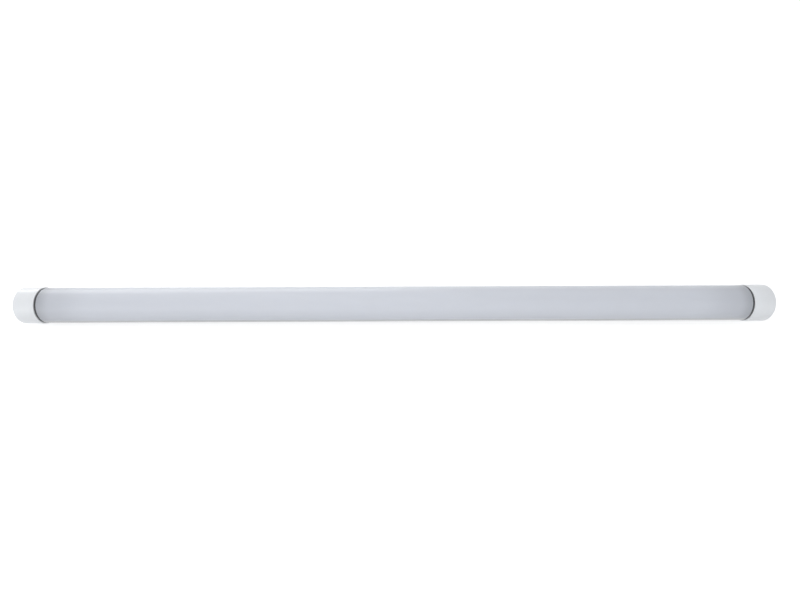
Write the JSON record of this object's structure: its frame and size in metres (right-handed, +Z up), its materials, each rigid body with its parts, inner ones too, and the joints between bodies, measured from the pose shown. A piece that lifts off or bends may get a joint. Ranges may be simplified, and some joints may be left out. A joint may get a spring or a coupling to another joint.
{
  "type": "linear led tube",
  "caption": "Linear LED tube, 600 mm class, with an aluminium heat sink below, a milky cover on top and a two-pin cap at each end.",
  "frame": {"origin": "on the tube's axis at mid-length", "axes": "+X along the tube to the end whose pins are linked, +Z up through the milky cover, -Y towards the camera"},
  "size_m": [0.6032, 0.029, 0.029],
  "materials": {
    "aluminium": "satin extruded",
    "milky_cover": "satin, milky and slightly translucent",
    "cap_plastic": "semi-gloss moulded",
    "pin_metal": "bright nickel plate",
    "seal_rubber": "dull elastomer",
    "screw_steel": "zinc plate",
    "board_white": "white solder resist",
    "led_housing": "moulded",
    "phosphor": "cast resin",
    "sleeve": "thin clear-white film",
    "circuit_board": "green laminate",
    "fuse_body": "moulded",
    "varistor_coat": "dipped epoxy",
    "film_block": "moulded",
    "ferrite": "sintered",
    "bobbin_plastic": "moulded",
    "copper": "enamelled wire",
    "black_package": "moulded epoxy",
    "capacitor_can": "can in a shrunk sleeve",
    "resistor_body": "thick film",
    "wire_brown": "wire insulation",
    "wire_blue": "wire insulation",
    "wire_red": "wire insulation",
    "wire_black": "wire insulation",
    "wire_white": "wire insulation"
  },
  "bodies": {
    "root": {"heat_sink": "aluminium", "diffuser": "milky_cover", "led_board": "board_white", "led_packages": "led_housing", "led_phosphors": "phosphor", "end_cap_left": "cap_plastic", "end_cap_right": "cap_plastic", "pin_left_front": "pin_metal", "pin_left_rear": "pin_metal", "pin_right_front": "pin_metal", "pin_right_rear": "pin_metal", "cap_screws": "screw_steel", "seal_rings": "seal_rubber", "driver_sleeve": "sleeve", "driver_board": "circuit_board", "mains_fuse": "fuse_body", "varistor": "varistor_coat", "film_capacitor": "film_block", "choke_core": "ferrite", "choke_bobbin": "bobbin_plastic", "choke_winding": "copper", "bridge_rectifier": "black_package", "driver_chip": "black_package", "output_diode": "black_package", "input_capacitor": "capacitor_can", "output_capacitor": "capacitor_can", "chip_resistors": "resistor_body", "transformer_core": "ferrite", "transformer_bobbin": "bobbin_plastic", "transformer_winding": "copper", "live_wire": "wire_brown", "neutral_wire": "wire_blue", "plus_wire": "wire_red", "minus_wire": "wire_black", "link_wire": "wire_white"}
  },
  "joints": []
}
